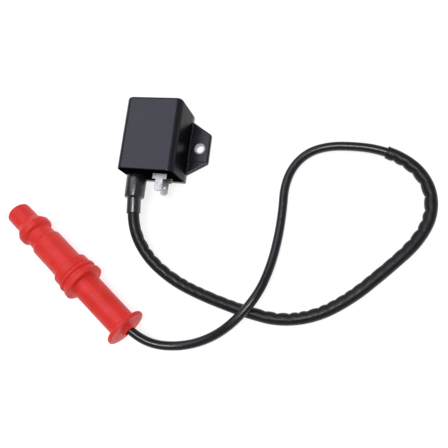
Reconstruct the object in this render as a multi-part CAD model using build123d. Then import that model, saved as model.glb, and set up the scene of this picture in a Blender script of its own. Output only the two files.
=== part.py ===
from build123d import *

import os

# Ignition coil of a small engine, with its sleeved spark plug lead and plug cap.
#
# Frame: millimetres, +Z up. The origin is midway between the two mounting holes,
# on the mounting face, z = 0. +X runs through the holes and +Y runs towards the
# closed end of the case. The lead and the terminals leave towards -Y, and the
# lead and its cap lie on the plane of the mounting face.

# ---------------------------------------------------------------- coil case
case_left_x = -23.4
case_right_x = 22.8
case_front_y = -29.3
case_back_y = 30.3
case_height = 36.5
case_wall = 2.4
case_shoulder_radius = 5.0
case_front_radius = 1.0
case_back_radius = 2.6
cavity_shoulder_radius = 2.8
cavity_end_radius = 1.2
case_rim_recess = 1.0

ear_hole_x = 32.0
ear_thickness = 3.2
ear_edge_radius = 1.2
ear_root_radius = 1.1
ear_root_overlap = 0.5
pad_height = 4.2
pad_edge_radius = 0.5

right_ear_middle_y = 0.5
right_ear_tip_x = 40.1
right_ear_tip_half = 12.4
right_ear_base_half = 23.6
right_ear_corner_radius = 2.4
pad_half = 11.6
pad_corner_radius = 2.0
pad_margin = 0.8
right_root_half = 22.0

left_ear_tip_x = -37.7
left_ear_tip_half = 6.0
left_ear_base_half = 14.5
left_ear_corner_radius = 5.2
left_root_half = 13.0
left_boss_wall = 0.9

bush_outer_radius = 4.6
bush_bore_radius = 3.4
bush_length = 4.4

# ---------------------------------------------------------------- lead tower
tower_x = -13.0
tower_z = 17.0
stub_radius = 6.2
stub_end_y = -46.0
contact_seat_y = -34.0
contact_head_length = 2.0
contact_stem_radius = 2.0
contact_stem_end_y = -21.0
contact_block_radius = 4.6
contact_block_end_y = -24.4
link_x = -8.0
link_y = -20.6
link_z = 26.5
link_drop = 4.0
spike_radius = 1.2
spike_point_radius = 0.2
spike_length = 9.0
spike_shank_share = 0.7
boot_root_radius = 8.2
boot_end_radius = 7.9
boot_end_y = -48.0
boot_end_rounding = 1.4
collar_radius = 5.55
collar_end_y = -60.5

# ---------------------------------------------------------------- terminals
terminal_x = 10.1
terminal_levels = {"primary_terminal": 27.0, "ground_terminal": 13.0}
blade_width = 6.3
blade_thickness = 0.8
blade_tip_y = -43.2
blade_tip_radius = 2.6
blade_edge_chamfer = 0.2
blade_hole_y = -37.3
blade_hole_radius = 0.9
shoulder_width = 11.4
shoulder_end_y = -33.4
terminal_tail_y = -21.0

# ---------------------------------------------------------------- core and windings
winding_z = 18.0
core_leg = 8.0
core_outer_half = 19.4
core_side_leg = 5.0
core_yoke = 5.0
core_back_y = 24.0
core_front_y = -17.0
lamination_count = 8
lamination_gap = 0.05
window_back_y = core_back_y - core_yoke
window_front_y = core_front_y + core_yoke
bobbin_clearance = 0.2
core_hole_clearance = 0.1

primary_tube_radius = 7.2
primary_flange_radius = 9.5
primary_wound_radius = 9.1
flange_thickness = 1.0
secondary_bore_radius = 9.7
secondary_tube_radius = 10.7
secondary_flange_radius = 13.4
secondary_wound_radius = 12.9
secondary_sections = 6

wire_radius = 0.4
wire_x = 6.0
wire_drop = 6.8
wire_bend_radius = 1.2
fine_wire_radius = 0.3
fine_wire_x = 8.4
fine_wire_z = 7.1
fine_wire_bend_y = terminal_tail_y - 1.6
fine_wire_bend_radius = 1.0

# ---------------------------------------------------------------- lead
conductor_radius = 0.8
insulation_radius = 3.5
sleeve_bore_radius = 3.6
sleeve_radius = 4.6
sleeve_start_y = -46.6
sleeve_points = 16
arc_share = 0.45

# The lead's route, from the contact in the tower to the screw in the cap. It leaves
# straight, comes down to the floor, swings round to the right, doubles back, crosses
# over its own sleeved stretch in a low hump and rises into the cap.
LEAD_ROUTE = [
    (-13.0, -36.0, 17.0),
    (-13.0, -57.0, 17.0),
    (-7.0, -79.0, 14.5),
    (8.3, -97.8, 9.5),
    (31.0, -111.4, 5.5),
    (58.0, -119.8, 4.6),
    (85.9, -126.2, 4.6),
    (113.0, -129.7, 4.6),
    (139.8, -122.0, 4.6),
    (163.2, -105.2, 4.6),
    (183.4, -84.4, 4.6),
    (202.2, -64.1, 4.6),
    (212.0, -44.6, 4.6),
    (211.5, -24.8, 4.6),
    (202.8, -9.3, 4.6),
    (187.4, 1.6, 4.6),
    (170.0, 6.7, 4.6),
    (153.5, 8.2, 3.8),
    (136.0, 7.6, 3.5),
    (120.2, 2.0, 3.5),
    (109.0, -10.6, 3.5),
    (104.3, -27.2, 3.5),
    (104.9, -46.0, 3.5),
    (103.8, -68.0, 3.5),
    (100.5, -91.0, 6.0),
    (94.6, -112.8, 13.8),
    (79.3, -134.8, 13.8),
    (61.3, -149.4, 9.5),
    (39.5, -158.0, 8.0),
    (16.5, -159.2, 12.5),
    (-3.5, -149.0, 16.6),
    (-19.6, -137.2, 16.6),
]

# ---------------------------------------------------------------- plug cap
# Stations run along the cap's axis from just outside its plug end to the lead's exit.
cap_lead_end = 120.0
cap_plug_bore_radius = 5.6
cap_plug_bore_depth = 24.0

# The boot's round sections: start, end, radius, front rounding and rear rounding.
cap_drums = [
    (1.5, 20.0, 9.8, 2.4, 0.0),  # tip
    (23.4, 30.1, 13.7, 1.6, 3.0),  # first ring
    (39.4, 72.6, 12.5, 1.6, 0.0),  # front body
    (71.8, 79.2, 15.0, 1.2, 0.6),  # low ridge
    (79.0, 87.0, 14.4, 0.0, 0.0),  # floor of the grooves
    (80.3, 83.3, 16.2, 1.0, 1.0),  # middle ridge
    (86.4, 90.6, 16.6, 1.2, 0.5),  # high ridge, which the cap rests on
    (138.2, 141.6, 16.3, 1.4, 1.2),  # rear flange
]

# The boot's tapers between them: start, end, start radius and end radius.
cap_tapers = [
    (17.2, 24.0, 9.6, 13.4),  # tip to first ring
    (29.0, 40.0, 10.8, 11.0),  # waist
    (90.0, 139.0, 11.2, 10.9),  # rear body
    (141.1, 144.5, 6.0, 4.9),  # neck round the lead
]

insulator_radius = 7.4
insulator_bore_radius = 4.4
insulator_end = 131.0
socket_start = 26.0
socket_depth = 14.0
socket_length = 18.0
socket_bore_radius = 3.2
clip_station = 31.0
clip_ring_radius = 3.35
clip_wire_radius = 0.4
clip_groove_radius = 3.85
clip_groove_half = 0.5
clip_gap = 1.6
resistor_start = socket_start + socket_length
resistor_length = 26.0
resistor_radius = 2.6
resistor_cap_length = 3.0
resistor_cap_radius = 2.9
resistor_cap_floor = 1.0
spring_length = 24.0
spring_turns = 8
spring_radius = 2.6
spring_wire_radius = 0.4
screw_head_start = resistor_start + resistor_length + spring_length
screw_groove_offsets = (4.0, 12.0)
screw_groove_width = 2.0
screw_groove_depth = 0.8


# ================================================================ helpers
def box_between(low, high):
    """An axis-aligned box from its lowest corner to its highest."""
    size = [b - a for a, b in zip(low, high)]
    middle = [(a + b) / 2 for a, b in zip(low, high)]
    return Pos(*middle) * Box(*size)


def rod_y(x, z, radius, y_from, y_to, end_radius=None):
    """A round rod parallel to Y, tapered to end_radius at y_to if one is given."""
    length = abs(y_to - y_from)
    direction = (0, 1 if y_to > y_from else -1, 0)
    start = Plane(origin=(x, y_from, z), z_dir=direction)
    if end_radius is None:
        return start * Pos(0, 0, length / 2) * Cylinder(radius, length)
    return start * Pos(0, 0, length / 2) * Cone(radius, end_radius, length)


def tube_y(x, z, outer, inner, y_from, y_to):
    """A round tube parallel to Y."""
    return rod_y(x, z, outer, y_from, y_to) - rod_y(x, z, inner, y_from, y_to)


def lead_radii(points):
    """The radius of each corner's arc: as large as the two runs beside it allow."""
    radii = []
    corners = [Vector(*point) for point in points]
    for before, corner, after in zip(corners, corners[1:], corners[2:]):
        run_in = corner - before
        run_out = after - corner
        shorter = min(run_in.length, run_out.length)
        half_turn = run_in.get_angle(run_out) / 2
        radii.append(arc_share * shorter / tan_degrees(half_turn))
    return radii


def tan_degrees(angle):
    """The tangent of an angle in degrees, from a unit vector turned by it."""
    turned = Vector(1, 0, 0).rotate(Axis.Z, angle)
    return turned.Y / turned.X


def lead_path(first, last, start=None, end=None):
    """The route's straight runs and tangent arcs from point first to point last.

    start and end cut the path short on its first and last straight run.
    """
    radii = lead_radii(LEAD_ROUTE)[first : last - 1]
    points = [Vector(*point) for point in LEAD_ROUTE[first : last + 1]]
    if start is not None:
        points[0] = start
    if end is not None:
        points[-1] = end
    return FilletPolyline(*points, radius=radii)


def swept(path, outer, inner=None):
    """A round rod or tube along a path."""
    section_plane = Plane(origin=path @ 0, z_dir=path % 0)
    section = section_plane * Circle(outer)
    if inner is not None:
        section -= section_plane * Circle(inner)
    return sweep(section, path=path)


def midpoint(index):
    """The middle of the run that starts at a point of the route."""
    return (Vector(*LEAD_ROUTE[index]) + Vector(*LEAD_ROUTE[index + 1])) / 2


# ================================================================ coil case
def case_block(inset, base_z, shoulder_radius, front_radius, back_radius):
    """The case's rounded block, shrunk by inset on its sides and its top."""
    low = (case_left_x + inset, case_front_y + inset, base_z)
    high = (case_right_x - inset, case_back_y - inset, case_height - inset)
    block = box_between(low, high)
    shoulders = block.edges().filter_by(Axis.Y).group_by(Axis.Z)[-1]
    block = fillet(shoulders, shoulder_radius)
    for end, radius in ((0, front_radius), (-1, back_radius)):
        rim = block.faces().sort_by(Axis.Y)[end].edges()
        block = fillet([edge for edge in rim if edge.center().Z > base_z + 0.1], radius)
    return block


def ear_web(root_x, tip_x, middle_y, tip_half, base_half, corner_radius):
    """A flat web from inside the case's wall to its tip, with soft upper edges."""
    corners = [
        (root_x, middle_y - base_half),
        (tip_x, middle_y - tip_half),
        (tip_x, middle_y + tip_half),
        (root_x, middle_y + base_half),
    ]
    outline = make_face(Polyline(*corners, close=True))
    tips = outline.vertices().sort_by(lambda vertex: abs(vertex.X))[-2:]
    plate = extrude(fillet(tips, corner_radius), amount=ear_thickness, dir=(0, 0, 1))
    top = plate.faces().sort_by(Axis.Z)[-1]
    rim = [edge for edge in top.edges() if abs(edge.center().X - root_x) > 0.1]
    return fillet(rim, ear_edge_radius)


def root_fillet(wall_x, outward, level, y_from, y_to):
    """The concave fillet where an ear's upper face meets the case's wall."""
    reach = wall_x + outward * ear_root_radius
    inside = wall_x - outward * ear_root_overlap
    low = (min(inside, reach), y_from, level - ear_root_overlap)
    high = (max(inside, reach), y_to, level + ear_root_radius)
    round_off = rod_y(reach, level + ear_root_radius, ear_root_radius, y_from - 1, y_to + 1)
    return box_between(low, high) - round_off


def right_ear():
    """The ear on the terminals' side, with a square raised pad round its bush."""
    root_x = case_right_x - 1.0
    middle = right_ear_middle_y
    part = ear_web(
        root_x,
        right_ear_tip_x,
        middle,
        right_ear_tip_half,
        right_ear_base_half,
        right_ear_corner_radius,
    )
    low = (root_x, middle - pad_half, 0)
    high = (right_ear_tip_x - pad_margin, middle + pad_half, pad_height)
    pad = box_between(low, high)
    corners = pad.edges().filter_by(Axis.Z).group_by(Axis.X)[-1]
    pad = fillet(corners, pad_corner_radius)
    top = pad.faces().sort_by(Axis.Z)[-1]
    pad = fillet([edge for edge in top.edges() if edge.center().X > root_x + 0.1], pad_edge_radius)
    part += pad
    pad_root_half = pad_half - pad_edge_radius
    for level, half in ((pad_height, pad_root_half), (ear_thickness, right_root_half)):
        part += root_fillet(case_right_x, 1, level, middle - half, middle + half)
    return part


def left_ear():
    """The shorter ear on the lead's side, with a round nose and a round boss."""
    root_x = case_left_x + 1.0
    part = ear_web(
        root_x,
        left_ear_tip_x,
        0,
        left_ear_tip_half,
        left_ear_base_half,
        left_ear_corner_radius,
    )
    boss_circle = Pos(-ear_hole_x, 0) * Circle(bush_outer_radius + left_boss_wall)
    part += extrude(boss_circle, amount=pad_height)
    return part + root_fillet(case_left_x, -1, ear_thickness, -left_root_half, left_root_half)


def coil_case():
    """The moulded case: a cup open at the mounting face, two ears and the lead's stub."""
    body = case_block(0.0, 0.0, case_shoulder_radius, case_front_radius, case_back_radius)
    body += right_ear() + left_ear()
    for side in (1, -1):
        body -= Pos(side * ear_hole_x, 0, 0) * Cylinder(bush_outer_radius, 4 * pad_height)
    body += rod_y(tower_x, tower_z, stub_radius, case_front_y + 1, stub_end_y)
    body -= case_cavity()
    body += contact_block()
    body -= rod_y(tower_x, tower_z, insulation_radius, contact_seat_y, stub_end_y - 1)
    body -= rod_y(tower_x, tower_z, contact_stem_radius, contact_seat_y - 1, contact_stem_end_y + 1)
    for level in terminal_levels.values():
        body -= terminal_blank(level)
    return body


def case_cavity():
    """The space inside the case, open at the mounting face."""
    return case_block(case_wall, -1.0, cavity_shoulder_radius, cavity_end_radius, cavity_end_radius)


def contact_block():
    """The thick root of the stub inside the case, which holds the contact."""
    front = case_front_y + case_wall - 0.5
    return rod_y(tower_x, tower_z, contact_block_radius, front, contact_block_end_y)


def mounting_bushes():
    """The two steel bushes in the ears, which take the load of the screws."""
    tube = extrude(Circle(bush_outer_radius) - Circle(bush_bore_radius), amount=bush_length)
    return [Pos(side * ear_hole_x, 0, 0) * tube for side in (1, -1)]


# ================================================================ terminals
def terminal_blank(level):
    """The part of a terminal that passes through the case's wall."""
    half = shoulder_width / 2
    low = (terminal_x - half, shoulder_end_y, level - blade_thickness / 2)
    high = (terminal_x + half, terminal_tail_y, level + blade_thickness / 2)
    return box_between(low, high)


def terminal(level):
    """One flat terminal: a wide shoulder, a blade with a locking hole and a round tip."""
    blade = box_between(
        (terminal_x - blade_width / 2, blade_tip_y, level - blade_thickness / 2),
        (terminal_x + blade_width / 2, shoulder_end_y + 1, level + blade_thickness / 2),
    )
    tip_edges = blade.edges().filter_by(Axis.Z).group_by(Axis.Y)[0]
    blade = fillet(tip_edges, blade_tip_radius)
    outer = [edge for edge in blade.edges() if edge.center().Y < shoulder_end_y - 0.5]
    flat = [edge for edge in outer if abs(edge.tangent_at(0.5).Z) < 0.5]
    blade = chamfer(flat, blade_edge_chamfer)
    hole = Pos(terminal_x, blade_hole_y, level) * Cylinder(blade_hole_radius, 2)
    return terminal_blank(level) + blade - hole


def terminal_wire(level, side):
    """The wire that lies on one side of a terminal's tail and runs to the primary bobbin."""
    tail_z = level + side * (blade_thickness / 2 + wire_radius)
    bobbin_z = winding_z + side * wire_drop
    path = FilletPolyline(
        (wire_x, terminal_tail_y - 2, tail_z),
        (wire_x, terminal_tail_y + 1, tail_z),
        (wire_x, core_front_y, bobbin_z),
        (wire_x, window_front_y + bobbin_clearance, bobbin_z),
        radius=wire_bend_radius,
    )
    return swept(path, wire_radius)


def secondary_ground_wire():
    """The thin wire from the low end of the secondary to the ground terminal's tail."""
    tail_z = terminal_levels["ground_terminal"] - blade_thickness / 2
    path = FilletPolyline(
        (fine_wire_x, window_back_y - flange_thickness, fine_wire_z),
        (fine_wire_x, fine_wire_bend_y, fine_wire_z),
        (fine_wire_x, fine_wire_bend_y, tail_z),
        radius=fine_wire_bend_radius,
    )
    return swept(path, fine_wire_radius)


def high_voltage_link():
    """The wire from the high end of the secondary down to the lead's contact."""
    path = FilletPolyline(
        (link_x, window_front_y + bobbin_clearance, link_z),
        (link_x, link_y, link_z),
        (tower_x, link_y, tower_z + link_drop),
        (tower_x, link_y, tower_z),
        radius=wire_bend_radius,
    )
    return swept(path, wire_radius)


def lead_contact():
    """The brass contact in the stub, with a spike that enters the end of the lead."""
    head_end = contact_seat_y - contact_head_length
    part = rod_y(tower_x, tower_z, contact_stem_radius, contact_stem_end_y, contact_seat_y)
    part += rod_y(tower_x, tower_z, insulation_radius, contact_seat_y, head_end)
    part += lead_spike(Plane(origin=(tower_x, head_end, tower_z), z_dir=(0, -1, 0)))
    return part


def lead_spike(start):
    """A pointed spike that stands on a plane and enters the lead's conductor."""
    shank = spike_length * spike_shank_share
    point = spike_length - shank
    part = start * Pos(0, 0, shank / 2) * Cylinder(spike_radius, shank)
    return part + start * Pos(0, 0, shank + point / 2) * Cone(spike_radius, spike_point_radius, point)


# ================================================================ core and windings
def core_sheets(outline):
    """A stack of thin sheets of one outline, centred on the winding's height."""
    pitch = core_leg / lamination_count
    sheet = extrude(outline, amount=pitch - lamination_gap)
    bottom = winding_z - core_leg / 2
    return [Pos(0, 0, bottom + pitch * index) * sheet for index in range(lamination_count)]


def plate_between(low, high):
    """A rectangle in the XY plane from its lowest corner to its highest."""
    middle = ((low[0] + high[0]) / 2, (low[1] + high[1]) / 2)
    return Pos(*middle) * Rectangle(high[0] - low[0], high[1] - low[1])


def core_e_laminations():
    """The E-shaped sheets: a yoke at the closed end and three legs."""
    outline = plate_between((-core_outer_half, window_front_y), (core_outer_half, core_back_y))
    for side in (1, -1):
        inner = side * core_leg / 2
        outer = side * (core_outer_half - core_side_leg)
        low = (min(inner, outer), window_front_y)
        high = (max(inner, outer), window_back_y)
        outline -= plate_between(low, high)
    return core_sheets(outline)


def core_i_laminations():
    """The straight sheets that close the core in front of the windings."""
    low = (-core_outer_half, core_front_y)
    high = (core_outer_half, window_front_y)
    return core_sheets(plate_between(low, high))


def bobbin_span():
    """The two ends of the bobbins along Y, inside the core's window."""
    return window_front_y + bobbin_clearance, window_back_y - bobbin_clearance


def primary_bobbin():
    """The inner bobbin, which slides over the core's middle leg."""
    front, back = bobbin_span()
    part = rod_y(0, winding_z, primary_tube_radius, front, back)
    for y_from, y_to in ((front, front + flange_thickness), (back - flange_thickness, back)):
        part += rod_y(0, winding_z, primary_flange_radius, y_from, y_to)
    half = core_leg / 2 + core_hole_clearance
    return part - box_between((-half, front - 1, winding_z - half), (half, back + 1, winding_z + half))


def primary_winding():
    """The primary's thick copper wire, as the sleeve that its layers fill."""
    front, back = bobbin_span()
    y_from = front + flange_thickness
    y_to = back - flange_thickness
    return tube_y(0, winding_z, primary_wound_radius, primary_tube_radius, y_from, y_to)


def section_edges():
    """The front of each of the secondary bobbin's flanges along Y."""
    front, back = bobbin_span()
    pitch = (back - front - flange_thickness) / secondary_sections
    return [front + pitch * index for index in range(secondary_sections + 1)]


def secondary_bobbin():
    """The outer bobbin, whose flanges part the fine winding into sections."""
    front, back = bobbin_span()
    part = rod_y(0, winding_z, secondary_tube_radius, front, back)
    for y in section_edges():
        part += rod_y(0, winding_z, secondary_flange_radius, y, y + flange_thickness)
    return part - rod_y(0, winding_z, secondary_bore_radius, front - 1, back + 1)


def secondary_winding():
    """The fine winding, one separate ring of it in each section."""
    edges = section_edges()
    rings = []
    for y_from, y_to in zip(edges, edges[1:]):
        y_start = y_from + flange_thickness
        rings.append(tube_y(0, winding_z, secondary_wound_radius, secondary_tube_radius, y_start, y_to))
    return rings


def potting_compound(inner_parts):
    """The cast resin that fills the case around everything inside it."""
    rim = (case_left_x, case_front_y, case_rim_recess)
    fill = case_cavity() & box_between(rim, (case_right_x, case_back_y, case_height))
    fill -= contact_block()
    low = (-core_outer_half, core_front_y, winding_z - core_leg / 2)
    high = (core_outer_half, core_back_y, winding_z + core_leg / 2)
    fill -= box_between(low, high)
    front, back = bobbin_span()
    fill -= rod_y(0, winding_z, secondary_flange_radius, window_front_y, window_back_y)
    for part in inner_parts:
        fill -= part
    return fill


# ================================================================ lead
def collar_path():
    """The first stretch of the lead's path, through the boot's collar."""
    return lead_path(0, 2, end=midpoint(1))


def tower_boot():
    """The rubber boot over the stub, with a thin collar round the sleeve's end."""
    root_y = case_front_y
    body = rod_y(tower_x, tower_z, boot_root_radius, root_y, boot_end_y, boot_end_radius)
    end_edge = body.edges().group_by(Axis.Y)[0]
    body = fillet(end_edge, boot_end_rounding)
    low = (tower_x - 2 * boot_root_radius, collar_end_y, 0)
    high = (tower_x + 2 * boot_root_radius, boot_end_y + 1, case_height)
    collar = swept(collar_path(), collar_radius) & box_between(low, high)
    body += collar
    body -= rod_y(tower_x, tower_z, stub_radius, root_y + 1, stub_end_y)
    return body - swept(collar_path(), sleeve_radius)


def lead_conductor():
    """The stranded conductor, along the whole route between the two spikes."""
    return swept(lead_path(0, len(LEAD_ROUTE) - 1), conductor_radius) - spikes()


def lead_insulation():
    """The lead's rubber insulation, along the whole route."""
    path = lead_path(0, len(LEAD_ROUTE) - 1)
    return swept(path, insulation_radius, conductor_radius) - spikes()


def lead_sleeve():
    """The protective sleeve over the coil's end of the lead."""
    start = Vector(tower_x, sleeve_start_y, tower_z)
    path = lead_path(0, sleeve_points, start=start, end=midpoint(sleeve_points - 1))
    return swept(path, sleeve_radius, sleeve_bore_radius)


def spikes():
    """The two spikes' shapes, at the two ends of the lead."""
    head_end = contact_seat_y - contact_head_length
    coil_end = lead_spike(Plane(origin=(tower_x, head_end, tower_z), z_dir=(0, -1, 0)))
    return coil_end + on_cap(lead_spike(Plane.XY.offset(cap_lead_end)))


# ================================================================ plug cap
def cap_plane():
    """The plane at the cap's plug end, whose Z runs along the cap towards the lead."""
    last = Vector(*LEAD_ROUTE[-1])
    along = (Vector(*LEAD_ROUTE[-2]) - last).normalized()
    return Plane(origin=last - along * cap_lead_end, x_dir=(0, 0, 1), z_dir=along)


def on_cap(part):
    """A part made along Z from the plug end, moved to where the cap lies."""
    return cap_plane() * part


def drum(start, end, radius, front=0.0, rear=0.0):
    """A round drum between two stations, with its front and rear edges rounded."""
    part = Pos(0, 0, (start + end) / 2) * Cylinder(radius, end - start)
    edges = part.edges().filter_by(GeomType.CIRCLE).sort_by(Axis.Z)
    if front:
        part = fillet(edges[0], front)
        edges = part.edges().filter_by(GeomType.CIRCLE).sort_by(Axis.Z)
    if rear:
        part = fillet(edges[-1], rear)
    return part


def taper(start, end, start_radius, end_radius):
    """A round taper between two stations."""
    return Pos(0, 0, (start + end) / 2) * Cone(start_radius, end_radius, end - start)


def cap_shape():
    """The outside of the cap's rubber boot, ring by ring from the plug end."""
    shape = drum(*cap_drums[0])
    for sizes in cap_drums[1:]:
        shape += drum(*sizes)
    for sizes in cap_tapers:
        shape += taper(*sizes)
    return shape


def cap_boot():
    """The silicone boot of the cap, hollow for the plug, the insulator and the lead."""
    shape = cap_shape()
    shape -= drum(-1.0, cap_plug_bore_depth + 1.0, cap_plug_bore_radius)
    shape -= drum(cap_plug_bore_depth, insulator_end, insulator_radius)
    first = len(LEAD_ROUTE) - 3
    end_path = lead_path(first, first + 2, start=midpoint(first))
    return on_cap(shape) - swept(end_path, insulation_radius)


def cap_insulator():
    """The rigid tube inside the boot, which holds the electrical parts in line."""
    part = drum(cap_plug_bore_depth, insulator_end, insulator_radius)
    part -= drum(cap_plug_bore_depth - 1.0, cap_lead_end, insulator_bore_radius)
    return on_cap(part - drum(cap_lead_end - 1.0, insulator_end + 1.0, insulation_radius))


def plug_socket():
    """The brass socket that grips the spark plug's terminal."""
    part = drum(socket_start, socket_start + socket_length, insulator_bore_radius)
    part -= drum(socket_start - 1.0, socket_start + socket_depth, socket_bore_radius)
    groove = drum(clip_station - clip_groove_half, clip_station + clip_groove_half, clip_groove_radius)
    return on_cap(part - groove)


def plug_clip():
    """The open spring ring in the socket's groove."""
    ring = Pos(0, 0, clip_station) * Torus(clip_ring_radius, clip_wire_radius)
    gap = Pos(clip_ring_radius, 0, clip_station) * Box(2 * clip_ring_radius, clip_gap, 2 * clip_ring_radius)
    return on_cap(ring - gap)


def resistor_rod():
    """The resistor's rod along Z, between the floors of its two end caps."""
    end = resistor_start + resistor_length - resistor_cap_floor
    return drum(resistor_start + resistor_cap_floor, end, resistor_radius)


def cap_resistor():
    """The ceramic rod of the suppression resistor."""
    return on_cap(resistor_rod())


def resistor_end_caps():
    """The two pressed metal caps on the resistor's ends."""
    caps = []
    for start in (resistor_start, resistor_start + resistor_length - resistor_cap_length):
        cap = drum(start, start + resistor_cap_length, resistor_cap_radius)
        caps.append(on_cap(cap - resistor_rod()))
    return caps


def resistor_spring():
    """The compressed spring between the resistor and the contact screw."""
    start = resistor_start + resistor_length + spring_wire_radius
    height = spring_length - 2 * spring_wire_radius
    path = Pos(0, 0, start) * Helix(height / spring_turns, height, spring_radius)
    section = Plane(origin=path @ 0, z_dir=path % 0) * Circle(spring_wire_radius)
    return on_cap(sweep(section, path=path, is_frenet=True))


def contact_screw():
    """The brass screw that the lead is turned onto, with its pointed shank."""
    part = drum(screw_head_start, cap_lead_end, insulator_bore_radius)
    for offset in screw_groove_offsets:
        start = screw_head_start + offset
        end = start + screw_groove_width
        groove = drum(start, end, insulator_bore_radius + 1.0)
        part -= groove - drum(start, end, insulator_bore_radius - screw_groove_depth)
    return on_cap(part + lead_spike(Plane.XY.offset(cap_lead_end)))


# ================================================================ output
def solids_of(shape):
    """One flat list of the solids in a shape or a list of shapes."""
    shapes = shape if isinstance(shape, list) else [shape]
    return [solid for item in shapes for solid in item.solids()]


def save(name, shape):
    """Write one node's STEP file, one solid or a group of separate solids."""
    solids = solids_of(shape)
    export_step(solids[0] if len(solids) == 1 else Compound(children=solids), f"parts/{name}.step")


def main():
    os.makedirs("parts", exist_ok=True)
    inner = {
        "primary_terminal": terminal(terminal_levels["primary_terminal"]),
        "ground_terminal": terminal(terminal_levels["ground_terminal"]),
        "primary_wire": terminal_wire(terminal_levels["primary_terminal"], 1),
        "ground_wire": terminal_wire(terminal_levels["ground_terminal"], -1),
        "secondary_ground_wire": secondary_ground_wire(),
        "high_voltage_link": high_voltage_link(),
        "lead_contact": lead_contact(),
    }
    nodes = dict(inner)
    nodes["coil_case"] = coil_case()
    nodes["mounting_bushes"] = mounting_bushes()
    nodes["potting_compound"] = potting_compound(inner.values())
    nodes["core_e_laminations"] = core_e_laminations()
    nodes["core_i_laminations"] = core_i_laminations()
    nodes["primary_bobbin"] = primary_bobbin()
    nodes["primary_winding"] = primary_winding()
    nodes["secondary_bobbin"] = secondary_bobbin()
    nodes["secondary_winding"] = secondary_winding()
    nodes["tower_boot"] = tower_boot()
    nodes["lead_conductor"] = lead_conductor()
    nodes["lead_insulation"] = lead_insulation()
    nodes["lead_sleeve"] = lead_sleeve()
    nodes["cap_boot"] = cap_boot()
    nodes["cap_insulator"] = cap_insulator()
    nodes["plug_socket"] = plug_socket()
    nodes["plug_clip"] = plug_clip()
    nodes["cap_resistor"] = cap_resistor()
    nodes["resistor_end_caps"] = resistor_end_caps()
    nodes["resistor_spring"] = resistor_spring()
    nodes["contact_screw"] = contact_screw()
    for name, shape in nodes.items():
        save(name, shape)
    print("lead arc radii, mm:", [round(radius, 1) for radius in lead_radii(LEAD_ROUTE)])
    print("lead length, mm:", round(lead_path(0, len(LEAD_ROUTE) - 1).length, 1))


main()
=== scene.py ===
import bisect
import math
import random

import bpy
from mathutils import Matrix, Vector, noise


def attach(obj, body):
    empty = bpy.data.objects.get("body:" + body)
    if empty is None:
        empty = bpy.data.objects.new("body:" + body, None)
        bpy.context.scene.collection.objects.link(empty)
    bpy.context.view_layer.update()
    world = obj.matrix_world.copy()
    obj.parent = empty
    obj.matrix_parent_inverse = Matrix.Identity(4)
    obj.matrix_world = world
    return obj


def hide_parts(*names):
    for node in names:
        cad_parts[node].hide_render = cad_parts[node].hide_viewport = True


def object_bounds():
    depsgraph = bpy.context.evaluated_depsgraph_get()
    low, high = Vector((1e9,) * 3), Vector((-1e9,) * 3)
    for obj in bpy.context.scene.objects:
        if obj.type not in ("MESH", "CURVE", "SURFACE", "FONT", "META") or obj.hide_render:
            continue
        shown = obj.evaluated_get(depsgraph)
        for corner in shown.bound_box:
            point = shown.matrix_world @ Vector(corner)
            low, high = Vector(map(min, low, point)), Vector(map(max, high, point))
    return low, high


# The looks of a small engine's ignition coil, with its sleeved plug lead and red plug cap.
# Everything is in metres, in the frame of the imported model.
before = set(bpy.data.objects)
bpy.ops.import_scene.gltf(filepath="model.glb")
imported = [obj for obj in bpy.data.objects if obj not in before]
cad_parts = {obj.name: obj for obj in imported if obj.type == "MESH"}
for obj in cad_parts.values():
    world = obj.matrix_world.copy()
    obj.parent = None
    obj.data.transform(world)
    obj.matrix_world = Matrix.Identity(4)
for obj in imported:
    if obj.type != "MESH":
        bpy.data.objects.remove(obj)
cad_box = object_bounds()
MM = 0.001

# ---------------------------------------------------------------- camera
CAMERA_PLACE = Vector((0.1512, -0.1254, 0.3804))
CAMERA_TARGET = Vector((0.0592, -0.0599, 0.0))
CAMERA_LENS = 40.1
CAMERA_ROLL = math.radians(7.12)

# ---------------------------------------------------------------- lead
# The lead's route, from the contact in the coil's stub to the screw in the cap.
LEAD_ROUTE = [
    (-0.0130, -0.0360, 0.0170),
    (-0.0130, -0.0570, 0.0170),
    (-0.0070, -0.0790, 0.0145),
    (0.0083, -0.0978, 0.0095),
    (0.0310, -0.1114, 0.0055),
    (0.0580, -0.1198, 0.0046),
    (0.0859, -0.1262, 0.0046),
    (0.1130, -0.1297, 0.0046),
    (0.1398, -0.1220, 0.0046),
    (0.1632, -0.1052, 0.0046),
    (0.1834, -0.0844, 0.0046),
    (0.2022, -0.0641, 0.0046),
    (0.2120, -0.0446, 0.0046),
    (0.2115, -0.0248, 0.0046),
    (0.2028, -0.0093, 0.0046),
    (0.1874, 0.0016, 0.0046),
    (0.1700, 0.0067, 0.0046),
    (0.1535, 0.0082, 0.0038),
    (0.1360, 0.0076, 0.0035),
    (0.1202, 0.0020, 0.0035),
    (0.1090, -0.0106, 0.0035),
    (0.1043, -0.0272, 0.0035),
    (0.1049, -0.0460, 0.0035),
    (0.1038, -0.0680, 0.0035),
    (0.1005, -0.0910, 0.0060),
    (0.0946, -0.1128, 0.0138),
    (0.0793, -0.1348, 0.0138),
    (0.0613, -0.1494, 0.0095),
    (0.0395, -0.1580, 0.0080),
    (0.0165, -0.1592, 0.0125),
    (-0.0035, -0.1490, 0.0166),
    (-0.0196, -0.1372, 0.0166),
]
LEAD_RADIUS = 0.0035
LEAD_UNEVENNESS = 0.0001
LEAD_WAVES_PER_METRE = 45
LEAD_SIDES = 32

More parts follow.
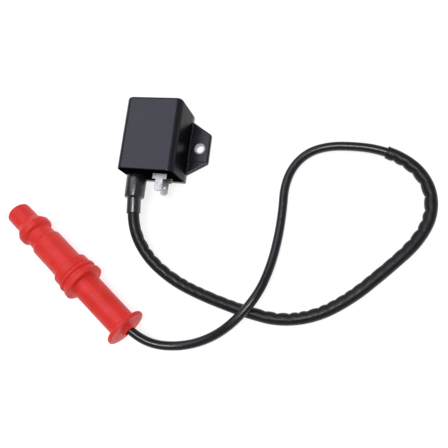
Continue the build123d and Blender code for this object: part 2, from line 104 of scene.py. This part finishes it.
# The sleeve round the lead. Its start and end are distances along the lead's route.
SLEEVE_RADIUS = 0.0046
SLEEVE_BORE = 0.0036
SLEEVE_LENGTH = 0.367
SLEEVE_START = 0.0106
SLEEVE_END = SLEEVE_START + SLEEVE_LENGTH
SLEEVE_UNEVENNESS = 0.00012
SLEEVE_WAVES_PER_METRE = 60
SLEEVE_SIDES = 40
SLEEVE_STEP = 0.0009

# The sleeve's creases, on the inside of its bends, and the flare at its end. The creases
# start CREASES_FADE_IN along the lead and are at their full depth at twice that. They are
# deeper in a sharper bend, and even a straight run has SLIGHT_CREASES of their depth.
# CREASE_SINK is the share of the depth below the sleeve's radius, and the rest puffs out.
CREASE_SPACING = (0.0065, 0.0115)
CREASE_SEED = 11
CREASE_DEPTH = 0.0013
CREASE_SINK = 0.8
CREASE_WRAP = 0.15
CREASES_FADE_IN = 0.03
SLIGHT_CREASES = 0.25
SHARP_BEND_RADIUS = 1 / 22
FLARE_SIZE = 0.00035
FLARE_LENGTH = 0.0025

# The cap's outside and inside: station along its axis, radius and rounding, in millimetres.
# Station 0 is just outside the plug end, and the lead ends at CAP_LEAD_END.
CAP_LEAD_END = 0.120
CAP_WIDEST_BORE = 0.0076
CAP_SIDES = 88
CAP_PROFILE = [
    (1.5, 9.8, 2.4),
    (17.6, 9.8, 3.0),
    (24.3, 13.7, 1.3),
    (30.1, 13.7, 2.8),
    (30.5, 10.8, 0.6),
    (39.4, 11.0, 0.7),
    (41.4, 12.5, 1.6),
    (71.7, 12.5, 0.5),
    (71.9, 15.0, 1.3),
    (79.2, 15.0, 0.7),
    (79.5, 14.4, 0.25),
    (80.3, 14.4, 0.25),
    (80.4, 16.2, 0.9),
    (83.3, 16.2, 1.0),
    (83.6, 14.9, 0.4),
    (86.3, 14.9, 0.4),
    (86.5, 16.6, 1.2),
    (90.6, 16.6, 0.6),
    (90.8, 11.2, 0.8),
    (137.9, 10.9, 0.8),
    (138.3, 16.3, 1.4),
    (141.6, 16.3, 1.2),
    (141.7, 6.0, 0.8),
    (144.5, 4.9, 0.8),
    (144.5, 3.5, 0.4),
    (131.0, 3.5, 0.0),
    (131.0, 7.4, 0.0),
    (24.0, 7.4, 0.0),
    (24.0, 5.6, 0.3),
    (1.5, 5.6, 0.6),
]

# The cap's two mould seams: where they run, the height and half width of their ridges, and
# how far the cluster of close points reaches to each side of them.
SEAM_ANGLES = (math.radians(60), math.radians(240))
SEAM_HEIGHT = 0.00014
SEAM_HALF_WIDTH = math.radians(1.4)
SEAM_SPREAD = math.radians(4)

# The boot's outside and inside: station from the case's wall, radius and rounding, in
# millimetres. The lead's route starts BOOT_LEAD_START out from the wall.
BOOT_LEAD_START = 0.0067
BOOT_SIDES = 64
BOOT_PROFILE = [
    (0.0, 8.2, 0.3),
    (18.7, 7.9, 1.4),
    (18.8, 5.55, 0.5),
    (31.1, 5.55, 0.35),
    (31.2, 4.62, 0.2),
    (17.0, 4.62, 0.0),
    (17.0, 6.2, 0.0),
    (0.0, 6.2, 0.0),
]

# ---------------------------------------------------------------- studio
FLOOR_HALF_SIZE = 12.0
FLOOR_GLOW = 0.8
WHITE = (1.0, 1.0, 1.0)
KEY_COLOUR = (0.82, 0.81, 1.0)
SKY_COLOUR = (0.93, 0.96, 1.0)
SKY_STRENGTH = 0.35


# ================================================================ lines and rings
def smooth_line(points, resolution=24):
    """The points of the smooth line that has these as its control points."""
    curve = bpy.data.curves.new("route", "CURVE")
    curve.dimensions = "3D"
    curve.resolution_u = resolution
    spline = curve.splines.new("NURBS")
    spline.points.add(len(points) - 1)
    for control, place in zip(spline.points, points):
        control.co = (*place, 1.0)
    spline.order_u = 3
    spline.use_endpoint_u = True
    holder = bpy.data.objects.new("route", curve)
    mesh = bpy.data.meshes.new_from_object(holder)
    line = [vertex.co.copy() for vertex in mesh.vertices]
    bpy.data.objects.remove(holder)
    bpy.data.curves.remove(curve)
    bpy.data.meshes.remove(mesh)
    return line


class Route:
    """A line with directions across it that don't twist, read by distance along it."""

    def __init__(self, line):
        self.line = line
        self.stations = [0.0]
        for before, after in zip(line, line[1:]):
            self.stations.append(self.stations[-1] + (after - before).length)
        self.alongs = []
        self.sides = []
        side = Vector((1, 0, 0))
        for index in range(len(line)):
            ahead = line[min(index + 1, len(line) - 1)]
            behind = line[max(index - 1, 0)]
            along = (ahead - behind).normalized()
            side = (side - along * side.dot(along)).normalized()
            self.alongs.append(along)
            self.sides.append(side)

    @property
    def length(self):
        return self.stations[-1]

    def at(self, station):
        """The place, the direction along and the two directions across at a station.

        Before the start and past the end the route runs on straight.
        """
        inside = min(max(station, 0.0), self.length)
        index = min(max(bisect.bisect_right(self.stations, inside) - 1, 0), len(self.line) - 2)
        span = self.stations[index + 1] - self.stations[index]
        share = (inside - self.stations[index]) / span
        along = self.alongs[index].lerp(self.alongs[index + 1], share).normalized()
        side = self.sides[index].lerp(self.sides[index + 1], share)
        side = (side - along * side.dot(along)).normalized()
        place = self.line[index].lerp(self.line[index + 1], share) + along * (station - inside)
        return place, along, side, along.cross(side)

    def bend(self, station, reach=0.007):
        """The curvature at a station, as a vector towards the inside of the bend, in 1/m."""
        before = self.at(max(station - reach, 0.0))[1]
        after = self.at(min(station + reach, self.length))[1]
        return (after - before) / (2 * reach)


def ring(route, station, radius, angles):
    """One ring of points round a route. radius is a number or a function of the angle."""
    place, _, side, up = route.at(station)
    points = []
    for angle in angles:
        size = radius(angle) if callable(radius) else radius
        points.append(place + (side * math.cos(angle) + up * math.sin(angle)) * size)
    return points


def even_angles(count):
    """Angles spaced evenly round a full turn."""
    return [2 * math.pi * index / count for index in range(count)]


def ring_mesh(name, rings, stations, closed):
    """A mesh through rings of points. closed joins the last ring to the first.

    An open one has a flat end at each side. The UV map is in metres, round and along.
    """
    count = len(rings[0])
    vertices = [point for points in rings for point in points]
    faces = []
    corners = []
    last = len(rings) if closed else len(rings) - 1
    for row in range(last):
        after = (row + 1) % len(rings)
        girth = sum((rings[row][i] - rings[row][i - 1]).length for i in range(count))
        for column in range(count):
            beside = (column + 1) % count
            faces.append((
                row * count + column,
                row * count + beside,
                after * count + beside,
                after * count + column,
            ))
            left = girth * column / count
            right = girth * (column + 1) / count
            corners += [
                (left, stations[row]),
                (right, stations[row]),
                (right, stations[after]),
                (left, stations[after]),
            ]
    if not closed:
        for row, forward in ((0, False), (len(rings) - 1, True)):
            middle = sum(rings[row], Vector()) / count
            vertices.append(middle)
            for column in range(count):
                pair = (row * count + column, row * count + (column + 1) % count)
                faces.append((*(pair if forward else pair[::-1]), len(vertices) - 1))
                corners += [(0.0, stations[row])] * 3
    mesh = bpy.data.meshes.new(name)
    mesh.from_pydata(vertices, [], faces)
    uv = mesh.uv_layers.new(name="surface")
    for loop, corner in zip(uv.data, corners):
        loop.uv = corner
    return mesh


def finished(name, mesh, material, replaced, sharp=35):
    """The piece for a mesh: shaded smooth, given its material and riding on the body."""
    mesh.validate()
    mesh.polygons.foreach_set("use_smooth", [True] * len(mesh.polygons))
    mesh.set_sharp_from_angle(angle=math.radians(sharp))
    mesh.materials.append(material)
    piece = bpy.data.objects.new(name, mesh)
    bpy.context.scene.collection.objects.link(piece)
    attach(piece, "root")
    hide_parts(*replaced)
    return piece


def rounded(corners, steps=6):
    """A closed profile's points, with each corner's rounding as an arc, in metres."""
    points = []
    for index, (station, radius, rounding) in enumerate(corners):
        place = Vector((station, radius))
        if rounding == 0:
            points.append(place * MM)
            continue
        inward = (Vector(corners[index - 1][:2]) - place).normalized()
        outward = (Vector(corners[(index + 1) % len(corners)][:2]) - place).normalized()
        half_turn = (math.pi - inward.angle(outward)) / 2
        centre = place + (inward + outward).normalized() * rounding / math.cos(half_turn)
        start = place + inward * rounding * math.tan(half_turn) - centre
        end = place + outward * rounding * math.tan(half_turn) - centre
        for step in range(steps + 1):
            spoke = start.slerp(end, step / steps).normalized()
            points.append((centre + spoke * rounding) * MM)
    return points


# ================================================================ materials
class Surface:
    """A material under construction, whose textures use sizes in metres."""

    def __init__(self, name, metallic=0.0, specular=0.5, along_piece=False):
        self.material = bpy.data.materials.new(name)
        self.material.use_nodes = True
        self.tree = self.material.node_tree
        self.shader = self.tree.nodes["Principled BSDF"]
        self.shader.inputs["Metallic"].default_value = metallic
        self.shader.inputs["Specular IOR Level"].default_value = specular
        if along_piece:
            self.place = self.node("ShaderNodeUVMap", uv_map="surface").outputs["UV"]
        else:
            self.place = self.node("ShaderNodeTexCoord").outputs["Object"]
        self.normal = None

    def node(self, kind, **settings):
        made = self.tree.nodes.new(kind)
        for name, value in settings.items():
            setattr(made, name, value)
        return made

    def link(self, output, target):
        self.tree.links.new(output, target)

    def feed(self, colour, target):
        """Gives an input a colour, which is another node's output or a plain (r, g, b)."""
        if isinstance(colour, tuple):
            target.default_value = (*colour, 1.0)
        else:
            self.link(colour, target)

    def noise(self, size, detail=4.0, stretch=(1, 1, 1)):
        """Cloudy noise whose features are about size across, longer where stretch is over 1."""
        mapping = self.node("ShaderNodeMapping")
        mapping.inputs["Scale"].default_value = [1 / (size * share) for share in stretch]
        self.link(self.place, mapping.inputs["Vector"])
        texture = self.node("ShaderNodeTexNoise")
        texture.inputs["Scale"].default_value = 1.0
        texture.inputs["Detail"].default_value = detail
        self.link(mapping.outputs["Vector"], texture.inputs["Vector"])
        return texture.outputs["Fac"]

    def cells(self, size):
        """The distance to the nearest of points scattered about size apart."""
        texture = self.node("ShaderNodeTexVoronoi", feature="F1")
        texture.inputs["Scale"].default_value = 1 / size
        self.link(self.place, texture.inputs["Vector"])
        return texture.outputs["Distance"]

    def axis(self, source, name):
        """One axis of the surface's Normal, or of its place on the Object in metres."""
        parts = self.node("ShaderNodeSeparateXYZ")
        self.link(self.node("ShaderNodeTexCoord").outputs[source], parts.inputs["Vector"])
        return parts.outputs[name]

    def combined(self, operation, first, second):
        """Two factors put together by a named operation."""
        made = self.node("ShaderNodeMath", operation=operation)
        self.link(first, made.inputs[0])
        self.link(second, made.inputs[1])
        return made.outputs["Value"]

    def ramp(self, factor, stops):
        """A colour from a factor, through stops of (position, colour)."""
        made = self.node("ShaderNodeValToRGB")
        ramp = made.color_ramp
        while len(ramp.elements) < len(stops):
            ramp.elements.new(0.5)
        for element, (position, colour) in zip(ramp.elements, stops):
            element.position = position
            element.color = (*colour, 1.0)
        self.link(factor, made.inputs["Fac"])
        return made.outputs["Color"]

    def mixed(self, factor, first, second):
        """Two colours mixed by a factor: the first at 0 and the second at 1."""
        made = self.node("ShaderNodeMix", data_type="RGBA")
        self.link(factor, made.inputs["Factor"])
        self.feed(first, made.inputs["A"])
        self.feed(second, made.inputs["B"])
        return made.outputs["Result"]

    def ranged(self, factor, low, high, low_at=0.3, high_at=0.7):
        """A factor turned into a number that is low at low_at and high at high_at."""
        made = self.node("ShaderNodeMapRange")
        made.inputs["From Min"].default_value = low_at
        made.inputs["From Max"].default_value = high_at
        made.inputs["To Min"].default_value = low
        made.inputs["To Max"].default_value = high
        self.link(factor, made.inputs["Value"])
        return made.outputs["Result"]

    def colour(self, output):
        self.link(output, self.shader.inputs["Base Color"])

    def roughness(self, factor, low, high):
        self.link(self.ranged(factor, low, high), self.shader.inputs["Roughness"])

    def bump(self, height, depth):
        """Adds relief of a depth in metres on top of the relief so far."""
        made = self.node("ShaderNodeBump")
        made.inputs["Strength"].default_value = 1.0
        made.inputs["Distance"].default_value = depth
        self.link(height, made.inputs["Height"])
        if self.normal is not None:
            self.link(self.normal, made.inputs["Normal"])
        self.normal = made.outputs["Normal"]
        self.link(self.normal, self.shader.inputs["Normal"])


def case_plastic():
    """Dark, faintly blue moulded resin with a satin top and ears. Faces turned sideways get a darker
    colour and weaker reflections than the top, and the front the weakest: painted shade.
    """
    made = Surface("case_plastic")
    cloud = made.noise(0.016, detail=3)
    top = made.ramp(cloud, [(0.35, (0.0018, 0.0015, 0.0060)), (0.68, (0.0042, 0.0036, 0.0120))])
    # Faces turned sideways get a darker colour than the top, chosen by which way they point: painted
    # shade.
    side = (0.0022, 0.0022, 0.0032)
    facing_up = made.ranged(made.axis("Normal", "Z"), 0.0, 1.0, low_at=0.25, high_at=0.85)
    speck = made.ranged(made.noise(0.0006, detail=2), 0.0, 0.4, low_at=0.66, high_at=0.74)
    made.colour(made.mixed(speck, made.mixed(facing_up, side, top), (0.016, 0.016, 0.024)))
    # Reflections are weaker on the sides and weakest on the front, chosen by which way a face points:
    # painted shade. The ears' low faces keep a satin gloss.
    shell = made.ranged(facing_up, 0.05, 0.52, low_at=0.0, high_at=1.0)
    not_front = made.ranged(made.axis("Normal", "Y"), 0.0, 1.0, low_at=-0.9, high_at=-0.4)
    ears = made.ranged(made.axis("Object", "Z"), 0.5, 0.0, low_at=0.0040, high_at=0.0050)
    gloss = made.combined("MAXIMUM", made.combined("MULTIPLY", shell, not_front), ears)
    made.link(gloss, made.shader.inputs["Specular IOR Level"])
    made.roughness(made.noise(0.007, detail=5, stretch=(1, 2.5, 1)), 0.22, 0.32)
    made.bump(made.noise(0.004, detail=3), 0.00003)
    made.bump(made.noise(0.00045, detail=3), 0.000012)
    return made.material


def black_rubber(name, dark, light, rough, grain, specular):
    """Black rubber or vinyl, with drawn lines along the piece and a dusty bloom."""
    made = Surface(name, specular=specular, along_piece=True)
    cloud = made.noise(0.011, detail=4)
    base = made.ramp(cloud, [(0.36, dark), (0.66, light)])
    dust = made.ranged(made.noise(0.0012, detail=6), 0.0, 0.35, low_at=0.6, high_at=0.78)
    bloom = tuple(value * 2.2 + 0.004 for value in light)
    made.colour(made.mixed(dust, base, bloom))
    made.roughness(made.noise(0.0045, detail=4), *rough)
    made.bump(made.noise(0.0009, detail=3, stretch=(1, 12, 1)), grain)
    made.bump(made.noise(0.0004, detail=2), grain * 0.4)
    return made.material


def cap_silicone():
    """Bright red moulded silicone, slightly cloudy, with a satin skin."""
    made = Surface("cap_silicone", specular=0.3)
    cloud = made.noise(0.014, detail=4)
    base = made.ramp(cloud, [(0.33, (0.74, 0.026, 0.019)), (0.66, (0.84, 0.040, 0.030))])
    bloom = made.ranged(made.noise(0.0016, detail=6), 0.0, 0.25, low_at=0.58, high_at=0.8)
    made.colour(made.mixed(bloom, base, (0.88, 0.09, 0.075)))
    made.roughness(made.noise(0.006, detail=4), 0.38, 0.5)
    made.bump(made.noise(0.005, detail=3), 0.00006)
    made.bump(made.noise(0.0005, detail=2), 0.00001)
    return made.material


def plated_metal(name, dark, light, rough, grain, stretch):
    """Bare or plated metal, with a rolled or turned grain and a few dull patches."""
    made = Surface(name, metallic=1.0)
    cloud = made.noise(0.0035, detail=5)
    made.colour(made.ramp(cloud, [(0.34, dark), (0.64, light)]))
    made.roughness(made.noise(0.0007, detail=4, stretch=stretch), *rough)
    made.bump(made.noise(0.00035, detail=4, stretch=stretch), grain)
    return made.material


def wound_copper():
    """Enamelled wire laid side by side, as fine ridges across the winding's axis."""
    wire_pitch = 0.0004
    made = Surface("copper_wire", metallic=0.85)
    cloud = made.noise(0.006, detail=4)
    made.colour(made.ramp(cloud, [(0.35, (0.42, 0.11, 0.04)), (0.65, (0.62, 0.20, 0.08))]))
    made.roughness(made.noise(0.002, detail=3), 0.25, 0.4)
    wave = made.node("ShaderNodeTexWave", bands_direction="Y")
    wave.inputs["Scale"].default_value = 1 / wire_pitch
    made.link(made.place, wave.inputs["Vector"])
    made.bump(wave.outputs["Fac"], 0.00012)
    return made.material


def cast_resin():
    """Black potting resin, glossy, with shallow sink marks and small craters."""
    made = Surface("potting_resin")
    cloud = made.noise(0.012, detail=4)
    made.colour(made.ramp(cloud, [(0.35, (0.006, 0.006, 0.008)), (0.65, (0.016, 0.015, 0.018))]))
    made.roughness(made.noise(0.009, detail=3), 0.16, 0.34)
    made.bump(made.noise(0.010, detail=2), 0.0004)
    craters = made.ranged(made.cells(0.0045), 0.0, 1.0, low_at=0.06, high_at=0.16)
    made.bump(craters, 0.00015)
    return made.material


def moulded(name, dark, light, rough):
    """A plain moulded or fired material with a faint cloud and grain."""
    made = Surface(name)
    made.colour(made.ramp(made.noise(0.005, detail=4), [(0.35, dark), (0.65, light)]))
    made.roughness(made.noise(0.002, detail=3), *rough)
    made.bump(made.noise(0.0006, detail=3), 0.00002)
    return made.material


def backdrop():
    """The pale floor, white with a barely visible cloud."""
    made = Surface("studio_floor", specular=0.0)
    cloud = made.noise(0.4, detail=2)
    made.colour(made.ramp(cloud, [(0.3, (0.30, 0.30, 0.30)), (0.7, (0.33, 0.33, 0.33))]))
    made.roughness(made.noise(0.2, detail=2), 0.85, 0.95)
    made.feed(WHITE, made.shader.inputs["Emission Color"])
    made.shader.inputs["Emission Strength"].default_value = FLOOR_GLOW
    return made.material


# ================================================================ pieces
def lead_piece(route, material):
    """The bare lead, from the coil's contact to the screw in the cap."""
    angles = even_angles(LEAD_SIDES)
    rings = []
    for station in route.stations:
        wave = noise.noise(Vector((station * LEAD_WAVES_PER_METRE, 3.1, 0.4)))
        slack = abs(wave) * LEAD_UNEVENNESS
        rings.append(ring(route, station, LEAD_RADIUS - slack, angles))
    mesh = ring_mesh("spark_plug_lead", rings, route.stations, closed=False)
    return finished("spark_plug_lead", mesh, material, ["lead_insulation"])


def crease_stations(length):
    """Where the sleeve creases on the inside of its bends, unevenly spaced."""
    chance = random.Random(CREASE_SEED)
    stations = [0.0]
    while stations[-1] < length:
        stations.append(stations[-1] + chance.uniform(*CREASE_SPACING))
    return stations


def puff(station, creases):
    """0 at a crease and 1 midway between two of them."""
    index = bisect.bisect_right(creases, station) - 1
    share = (station - creases[index]) / (creases[index + 1] - creases[index])
    return math.sin(math.pi * share) ** 0.55


def sleeve_piece(route, material):
    """The loose sleeve over the coil's half of the lead, wrinkled inside its bends."""
    angles = even_angles(SLEEVE_SIDES)
    creases = crease_stations(SLEEVE_END)
    count = round(SLEEVE_LENGTH / SLEEVE_STEP)
    stations = [SLEEVE_START + SLEEVE_LENGTH * index / count for index in range(count + 1)]
    rings = []
    for station in stations:
        bend = route.bend(station)
        clear_of_boot = (station - CREASES_FADE_IN) / CREASES_FADE_IN
        sharpness = min(1.0, SLIGHT_CREASES + bend.length * SHARP_BEND_RADIUS)
        strength = sharpness * min(1.0, max(0.0, clear_of_boot))
        inside = bend.normalized() if bend.length > 0.01 else Vector((0, 0, 1))
        _, _, side, up = route.at(station)
        flare = FLARE_SIZE * max(0.0, 1 - (SLEEVE_END - station) / FLARE_LENGTH) ** 2
        fold = (puff(station, creases) - CREASE_SINK) * strength * CREASE_DEPTH

        def radius(angle):
            across = side * math.cos(angle) + up * math.sin(angle)
            facing = max(0.0, across.dot(inside) + CREASE_WRAP) / (1 + CREASE_WRAP)
            wave = noise.noise(across * 0.6 + Vector((station * SLEEVE_WAVES_PER_METRE, 0, 0)))
            return SLEEVE_RADIUS + fold * facing**1.3 + wave * SLEEVE_UNEVENNESS + flare

        rings.append(ring(route, station, radius, angles))

    # The sleeve lies flat on the floor where it would reach below it.
    for points in rings:
        for point in points:
            point.z = max(point.z, cad_box[0].z)
    inner = [ring(route, station, SLEEVE_BORE, angles) for station in reversed(stations)]
    mesh = ring_mesh("lead_sleeve_tube", rings + inner, stations + stations[::-1], closed=True)
    return finished("lead_sleeve_tube", mesh, material, ["lead_sleeve"])


def boot_piece(route, material):
    """The rubber boot on the case's tower, with its collar round the sleeve."""
    profile = rounded(BOOT_PROFILE)
    angles = even_angles(BOOT_SIDES)
    rings = [ring(route, point.x - BOOT_LEAD_START, point.y, angles) for point in profile]
    stations = [point.x for point in profile]
    mesh = ring_mesh("tower_boot_rubber", rings, stations, closed=True)
    return finished("tower_boot_rubber", mesh, material, ["tower_boot"], sharp=50)


def cap_angles():
    """Even angles round the cap, with a cluster of close ones at each of its seams."""

    def clear(angle):
        return all(abs(angle - seam) > SEAM_SPREAD for seam in SEAM_ANGLES)

    angles = [angle for angle in even_angles(CAP_SIDES) if clear(angle)]
    for seam in SEAM_ANGLES:
        angles += [seam + SEAM_SPREAD * share for share in (-1.0, -0.55, -0.25, 0.0, 0.25, 0.55, 1.0)]
    return sorted(angles)


def cap_piece(material):
    """The red boot of the plug cap, turned from its profile, with two mould seams."""
    last = Vector(LEAD_ROUTE[-1])
    along = (Vector(LEAD_ROUTE[-2]) - last).normalized()
    tip = last - along * CAP_LEAD_END
    axis = Route([tip, last])
    angles = cap_angles()
    profile = rounded(CAP_PROFILE)

    rings = []
    for point in profile:

        def radius(angle):
            nearest = min(abs(angle - seam) for seam in SEAM_ANGLES)
            ridge = SEAM_HEIGHT * math.exp(-((nearest / SEAM_HALF_WIDTH) ** 2))
            return point.y + (ridge if point.y > CAP_WIDEST_BORE else 0.0)

        rings.append(ring(axis, point.x, radius, angles))
    mesh = ring_mesh("plug_cap_boot", rings, [point.x for point in profile], closed=True)
    return finished("plug_cap_boot", mesh, material, ["cap_boot"], sharp=50)


# ================================================================ studio
def make_camera():
    """The camera, rolled a little about its own line of sight."""
    back = (CAMERA_PLACE - CAMERA_TARGET).normalized()
    right = Vector((0, 1, 0)).cross(back).normalized()
    upright = Matrix((right, back.cross(right), back)).transposed()
    turned = Matrix.Rotation(CAMERA_ROLL, 3, back) @ upright
    data = bpy.data.cameras.new("camera")
    data.lens = CAMERA_LENS
    data.sensor_width = 36
    data.clip_start = 0.01
    camera = bpy.data.objects.new("camera", data)
    bpy.context.scene.collection.objects.link(camera)
    camera.matrix_world = Matrix.Translation(CAMERA_PLACE) @ turned.to_4x4()
    bpy.context.scene.camera = camera


def softbox(name, place, target, size, power, colour=WHITE):
    """A square soft light at a place, turned towards a target."""
    data = bpy.data.lights.new(name, "AREA")
    data.size = size
    data.energy = power
    data.color = colour
    light = bpy.data.objects.new(name, data)
    bpy.context.scene.collection.objects.link(light)
    light.location = place
    light.rotation_euler = (Vector(target) - Vector(place)).to_track_quat("-Z", "Y").to_euler()


def make_studio():
    """The floor, the soft lights and the pale surroundings."""
    middle = (cad_box[0] + cad_box[1]) / 2
    left, right = middle.x - FLOOR_HALF_SIZE, middle.x + FLOOR_HALF_SIZE
    near, far = middle.y - FLOOR_HALF_SIZE, middle.y + FLOOR_HALF_SIZE
    level = cad_box[0].z
    corners = [(left, near, level), (right, near, level), (right, far, level), (left, far, level)]
    floor = bpy.data.meshes.new("floor")
    floor.from_pydata(corners, [], [(0, 1, 2, 3)])
    floor.materials.append(backdrop())
    piece = bpy.data.objects.new("floor", floor)
    bpy.context.scene.collection.objects.link(piece)

    target = (middle.x, middle.y, 0.0)
    key_place = (middle.x - 0.45, middle.y + 0.45, 1.0)
    top_place = (middle.x + 0.05, middle.y - 0.1, 1.5)
    softbox("key_light", key_place, target, size=0.9, power=4.2, colour=KEY_COLOUR)
    softbox("top_light", top_place, target, size=0.5, power=9.0)

    world = bpy.data.worlds.new("studio")
    world.use_nodes = True
    sky = world.node_tree.nodes["Background"]
    sky.inputs["Color"].default_value = (*SKY_COLOUR, 1.0)
    sky.inputs["Strength"].default_value = SKY_STRENGTH
    scene = bpy.context.scene
    scene.world = world
    scene.view_settings.view_transform = "Standard"


# ================================================================ the whole
def paint(material, *nodes):
    """Gives CAD nodes a material in place of their plain one."""
    for name in nodes:
        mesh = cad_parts[name].data
        mesh.materials.clear()
        mesh.materials.append(material)


make_camera()

# Rubbers: dark and light tint, roughness, depth of the grain and specular strength.
rubber = {
    "lead_rubber": ((0.004, 0.004, 0.005), (0.009, 0.0085, 0.011), (0.15, 0.30), 0.00003, 0.5),
    "sleeve_rubber": ((0.003, 0.003, 0.0035), (0.008, 0.008, 0.009), (0.28, 0.48), 0.00004, 0.35),
    "boot_rubber": ((0.005, 0.005, 0.007), (0.011, 0.0105, 0.014), (0.10, 0.26), 0.00009, 0.9),
}
blacks = {name: black_rubber(name, *looks) for name, looks in rubber.items()}

lead_route = Route(smooth_line(LEAD_ROUTE))
lead = lead_piece(lead_route, blacks["lead_rubber"])
sleeve = sleeve_piece(lead_route, blacks["sleeve_rubber"])
boot_piece(lead_route, blacks["boot_rubber"])
cap = cap_piece(cap_silicone())

paint(case_plastic(), "coil_case")
paint(cast_resin(), "potting_compound")
copper = wound_copper()
paint(copper, "primary_winding", "secondary_winding", "primary_wire", "ground_wire")
paint(copper, "secondary_ground_wire", "high_voltage_link", "lead_conductor")

# Metals: dark and light tint, roughness, depth of the grain and the way it runs.
metals = {
    "bush_steel": ((0.24, 0.24, 0.26), (0.44, 0.44, 0.46), (0.24, 0.42), 0.00001, (1, 1, 8)),
    "terminal_tin": ((0.36, 0.35, 0.33), (0.54, 0.53, 0.50), (0.32, 0.46), 0.000008, (1, 10, 1)),
    "core_steel": ((0.20, 0.20, 0.21), (0.33, 0.33, 0.34), (0.30, 0.50), 0.00001, (6, 1, 1)),
    "contact_brass": ((0.60, 0.40, 0.16), (0.78, 0.56, 0.24), (0.20, 0.40), 0.00001, (1, 1, 1)),
    "spring_steel": ((0.40, 0.40, 0.42), (0.60, 0.60, 0.62), (0.22, 0.40), 0.00001, (1, 1, 1)),
}
metal_nodes = {
    "bush_steel": ["mounting_bushes"],
    "terminal_tin": ["primary_terminal", "ground_terminal"],
    "core_steel": ["core_e_laminations", "core_i_laminations"],
    "contact_brass": ["lead_contact", "plug_socket", "contact_screw"],
    "spring_steel": ["plug_clip", "resistor_spring", "resistor_end_caps"],
}
for name, looks in metals.items():
    paint(plated_metal(name, *looks), *metal_nodes[name])

# Moulded and fired insulators: dark and light tint, and roughness.
insulators = {
    "bobbin_plastic": ((0.50, 0.46, 0.36), (0.62, 0.58, 0.47), (0.40, 0.55)),
    "insulator_resin": ((0.140, 0.075, 0.045), (0.210, 0.120, 0.075), (0.30, 0.45)),
    "resistor_ceramic": ((0.62, 0.60, 0.55), (0.74, 0.72, 0.68), (0.45, 0.60)),
}
insulator_nodes = {
    "bobbin_plastic": ["primary_bobbin", "secondary_bobbin"],
    "insulator_resin": ["cap_insulator"],
    "resistor_ceramic": ["cap_resistor"],
}
for name, looks in insulators.items():
    paint(moulded(name, *looks), *insulator_nodes[name])

cap_nodes = ["cap_insulator", "plug_socket", "plug_clip", "cap_resistor", "resistor_end_caps"]
cap_nodes += ["resistor_spring", "contact_screw", "lead_conductor"]

make_studio()
